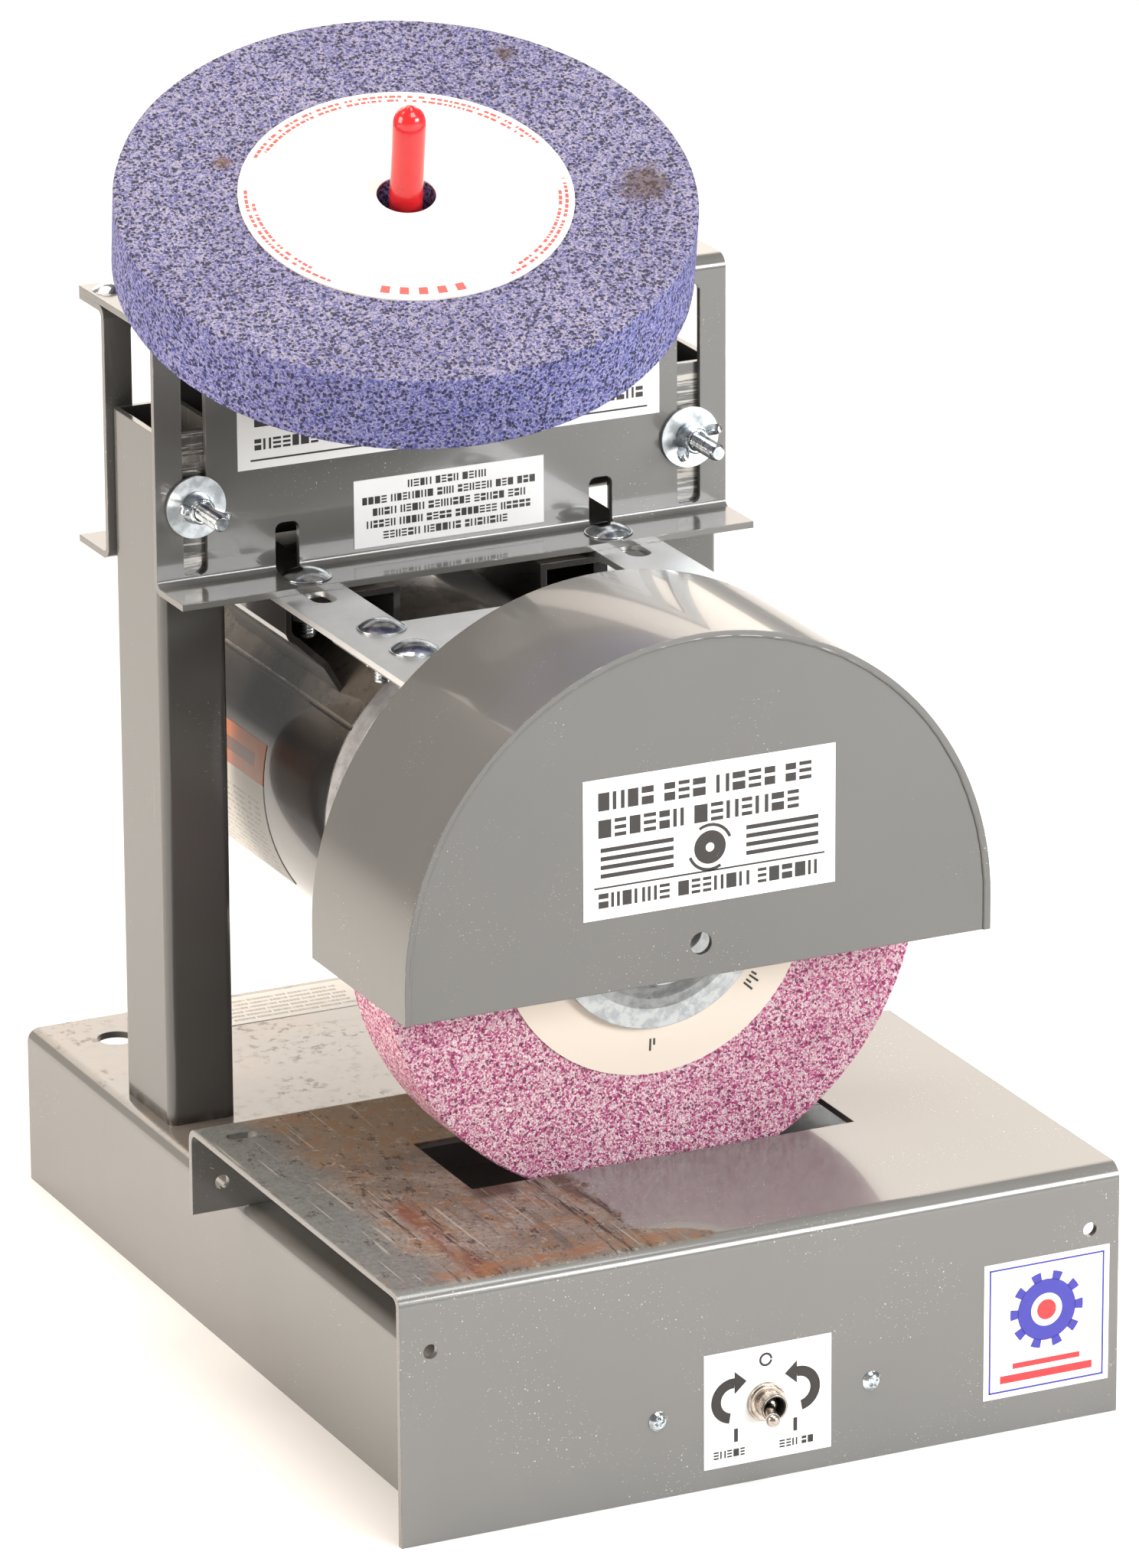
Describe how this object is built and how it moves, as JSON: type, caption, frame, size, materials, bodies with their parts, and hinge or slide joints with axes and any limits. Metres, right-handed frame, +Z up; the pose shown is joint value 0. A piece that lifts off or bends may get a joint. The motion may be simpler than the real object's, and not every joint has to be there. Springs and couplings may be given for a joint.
{
  "type": "bench grinder",
  "caption": "Bench grinder with a guarded front wheel over a slotted work table, a motor carriage that slides on two posts, and a spare wheel parked on a peg.",
  "frame": {"origin": "middle of the table's front edge, on the surface that the grinder stands on", "axes": "+X to the operator's right, +Y to the rear, away from the operator, +Z up"},
  "size_m": [0.338, 0.4864, 0.5415],
  "materials": {
    "grey_paint": "semi-gloss",
    "table_paint": "semi-gloss, worn to bare steel at the left front",
    "guard_paint": "semi-gloss",
    "zinc": "bright zinc plate",
    "plate_steel": "zinc-plated sheet",
    "nickel": "nickel plate",
    "switch_plastic": "matt",
    "terminal_brass": "dull",
    "gland_plastic": "matt",
    "label_white": "satin vinyl label",
    "sticker": "satin vinyl sticker",
    "label_grey": "matt paper label",
    "motor_sticker": "foil label",
    "black_gloss": "gloss enamel",
    "cast_aluminium": "as cast",
    "lamination": "laminated steel",
    "copper_wire": "enamelled copper wire",
    "bare_steel": "ground steel",
    "board": "phenolic board",
    "capacitor_can": "drawn can",
    "fan_plastic": "matt",
    "pink_abrasive": "coarse bonded abrasive",
    "violet_abrasive": "coarse bonded abrasive",
    "cream_paper": "matt blotter paper",
    "white_paper": "matt blotter paper",
    "red_vinyl": "glossy vinyl"
  },
  "bodies": {
    "base": {"base_channel": "grey_paint", "work_table": "table_paint", "left_post": "grey_paint", "right_post": "grey_paint", "post_bolts": "zinc", "fender_washers": "zinc", "switch_box": "zinc", "switch_body": "switch_plastic", "switch_terminals": "terminal_brass", "switch_ring_nut": "nickel", "switch_box_screws": "zinc", "cord_gland": "gland_plastic", "switch_label": "label_white", "square_sticker": "sticker", "base_label": "label_grey"},
    "carriage": {"front_channel": "grey_paint", "rear_channel": "grey_paint", "guard_front": "guard_paint", "guard_rim": "guard_paint", "guard_back": "guard_paint", "top_bolts": "zinc", "top_nuts": "zinc", "peg_bracket": "zinc", "peg_stud": "zinc", "peg_washer": "zinc", "plate_bolts": "zinc", "plate_washers": "zinc", "plate_nuts": "zinc", "through_bolts": "zinc", "motor_plate": "plate_steel", "upper_label": "label_white", "lower_label": "label_white", "guard_label": "label_white", "motor_label": "motor_sticker", "motor_shell": "black_gloss", "motor_foot": "black_gloss", "capacitor_cover": "black_gloss", "front_bell": "cast_aluminium", "rear_bell": "cast_aluminium", "stator_core": "lamination", "stator_windings": "copper_wire", "front_bearing": "bare_steel", "rear_bearing": "bare_steel", "start_switch": "board", "capacitor": "capacitor_can", "peg_cap": "red_vinyl"},
    "spindle": {"shaft": "bare_steel", "rotor": "lamination", "fan": "fan_plastic", "inner_flange": "zinc", "outer_flange": "zinc", "spindle_nut": "bare_steel", "grinding_wheel": "pink_abrasive", "wheel_blotters": "cream_paper"},
    "spare_wheel": {"spare_wheel": "violet_abrasive", "spare_blotters": "white_paper"},
    "toggle_lever": {"toggle_lever": "nickel"},
    "left_wing_nut": {"left_wing_nut": "zinc"},
    "right_wing_nut": {"right_wing_nut": "zinc"}
  },
  "joints": [
    {"name": "bevel_slide", "type": "slide", "parent": "base", "child": "carriage", "axis": [0, 0, 1], "range_m": [-0.015, 0.018]},
    {"name": "spindle_turn", "type": "hinge", "parent": "carriage", "child": "spindle", "pos_m": [0, 0.125, 0.221], "axis": [0, 1, 0], "continuous": true},
    {"name": "spare_lift", "type": "slide", "parent": "carriage", "child": "spare_wheel", "axis": [-0.1202, -0.3701, 0.9212], "range_m": [0, 0.09]},
    {"name": "toggle_swing", "type": "hinge", "parent": "base", "child": "toggle_lever", "pos_m": [0, -0.003, 0.0355], "axis": [0, 0, 1], "range_deg": [0, 42]},
    {"name": "left_nut_turn", "type": "hinge", "parent": "base", "child": "left_wing_nut", "pos_m": [-0.1196, 0.31, 0.36], "axis": [0, 1, 0], "continuous": true},
    {"name": "right_nut_turn", "type": "hinge", "parent": "base", "child": "right_wing_nut", "pos_m": [0.1196, 0.31, 0.36], "axis": [0, 1, 0], "continuous": true}
  ]
}
